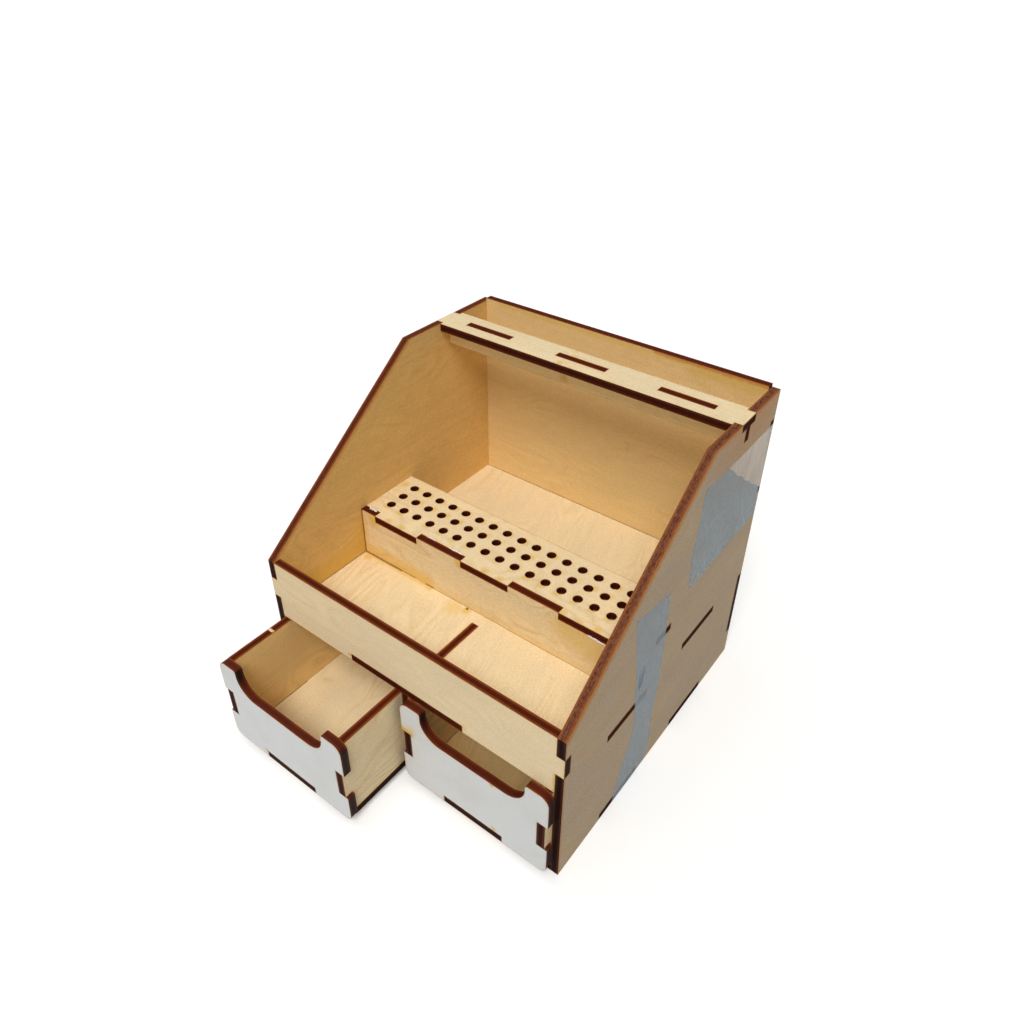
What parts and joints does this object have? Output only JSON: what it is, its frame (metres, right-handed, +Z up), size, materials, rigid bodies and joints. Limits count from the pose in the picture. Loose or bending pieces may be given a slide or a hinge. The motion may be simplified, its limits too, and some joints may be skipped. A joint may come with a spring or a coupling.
{
  "type": "hobby workstation organizer",
  "caption": "Plywood desk organizer with sloped sides, a drilled bit holder, an open tray, a rack bar for pliers and two sliding drawers with finger cut-outs.",
  "frame": {"origin": "on the table, in the middle of the cabinet's front edge", "axes": "+X to the right seen from the front, +Y to the back, +Z up"},
  "size_m": [0.143, 0.1705, 0.1414],
  "materials": {
    "birch_plywood": "bare birch plywood with dark laser-cut edges",
    "white_faced_plywood": "plywood faced with white laminate, dark laser-cut edges",
    "clear_film": "clear adhesive film, glossy",
    "dried_glue": "dried wood glue"
  },
  "bodies": {
    "cabinet": {"left_side": "birch_plywood", "right_side": "birch_plywood", "front_lip": "birch_plywood", "shelf": "birch_plywood", "bottom_panel": "birch_plywood", "back_panel": "birch_plywood", "drawer_divider": "birch_plywood", "bit_holder_front": "birch_plywood", "bit_holder_top": "birch_plywood", "rack_plate": "birch_plywood", "rack_stiffener": "birch_plywood"},
    "left_drawer": {"left_drawer_front": "white_faced_plywood", "left_drawer_left_side": "birch_plywood", "left_drawer_right_side": "birch_plywood", "left_drawer_back": "birch_plywood", "left_drawer_bottom": "birch_plywood"},
    "right_drawer": {"right_drawer_front": "white_faced_plywood", "right_drawer_left_side": "birch_plywood", "right_drawer_right_side": "birch_plywood", "right_drawer_back": "birch_plywood", "right_drawer_bottom": "birch_plywood"}
  },
  "joints": [
    {"name": "left_drawer_slide", "type": "slide", "parent": "cabinet", "child": "left_drawer", "axis": [0, -1, 0], "range_m": [-0.0283, 0.0667]},
    {"name": "right_drawer_slide", "type": "slide", "parent": "cabinet", "child": "right_drawer", "axis": [0, -1, 0], "range_m": [-0.0004, 0.0946]}
  ]
}
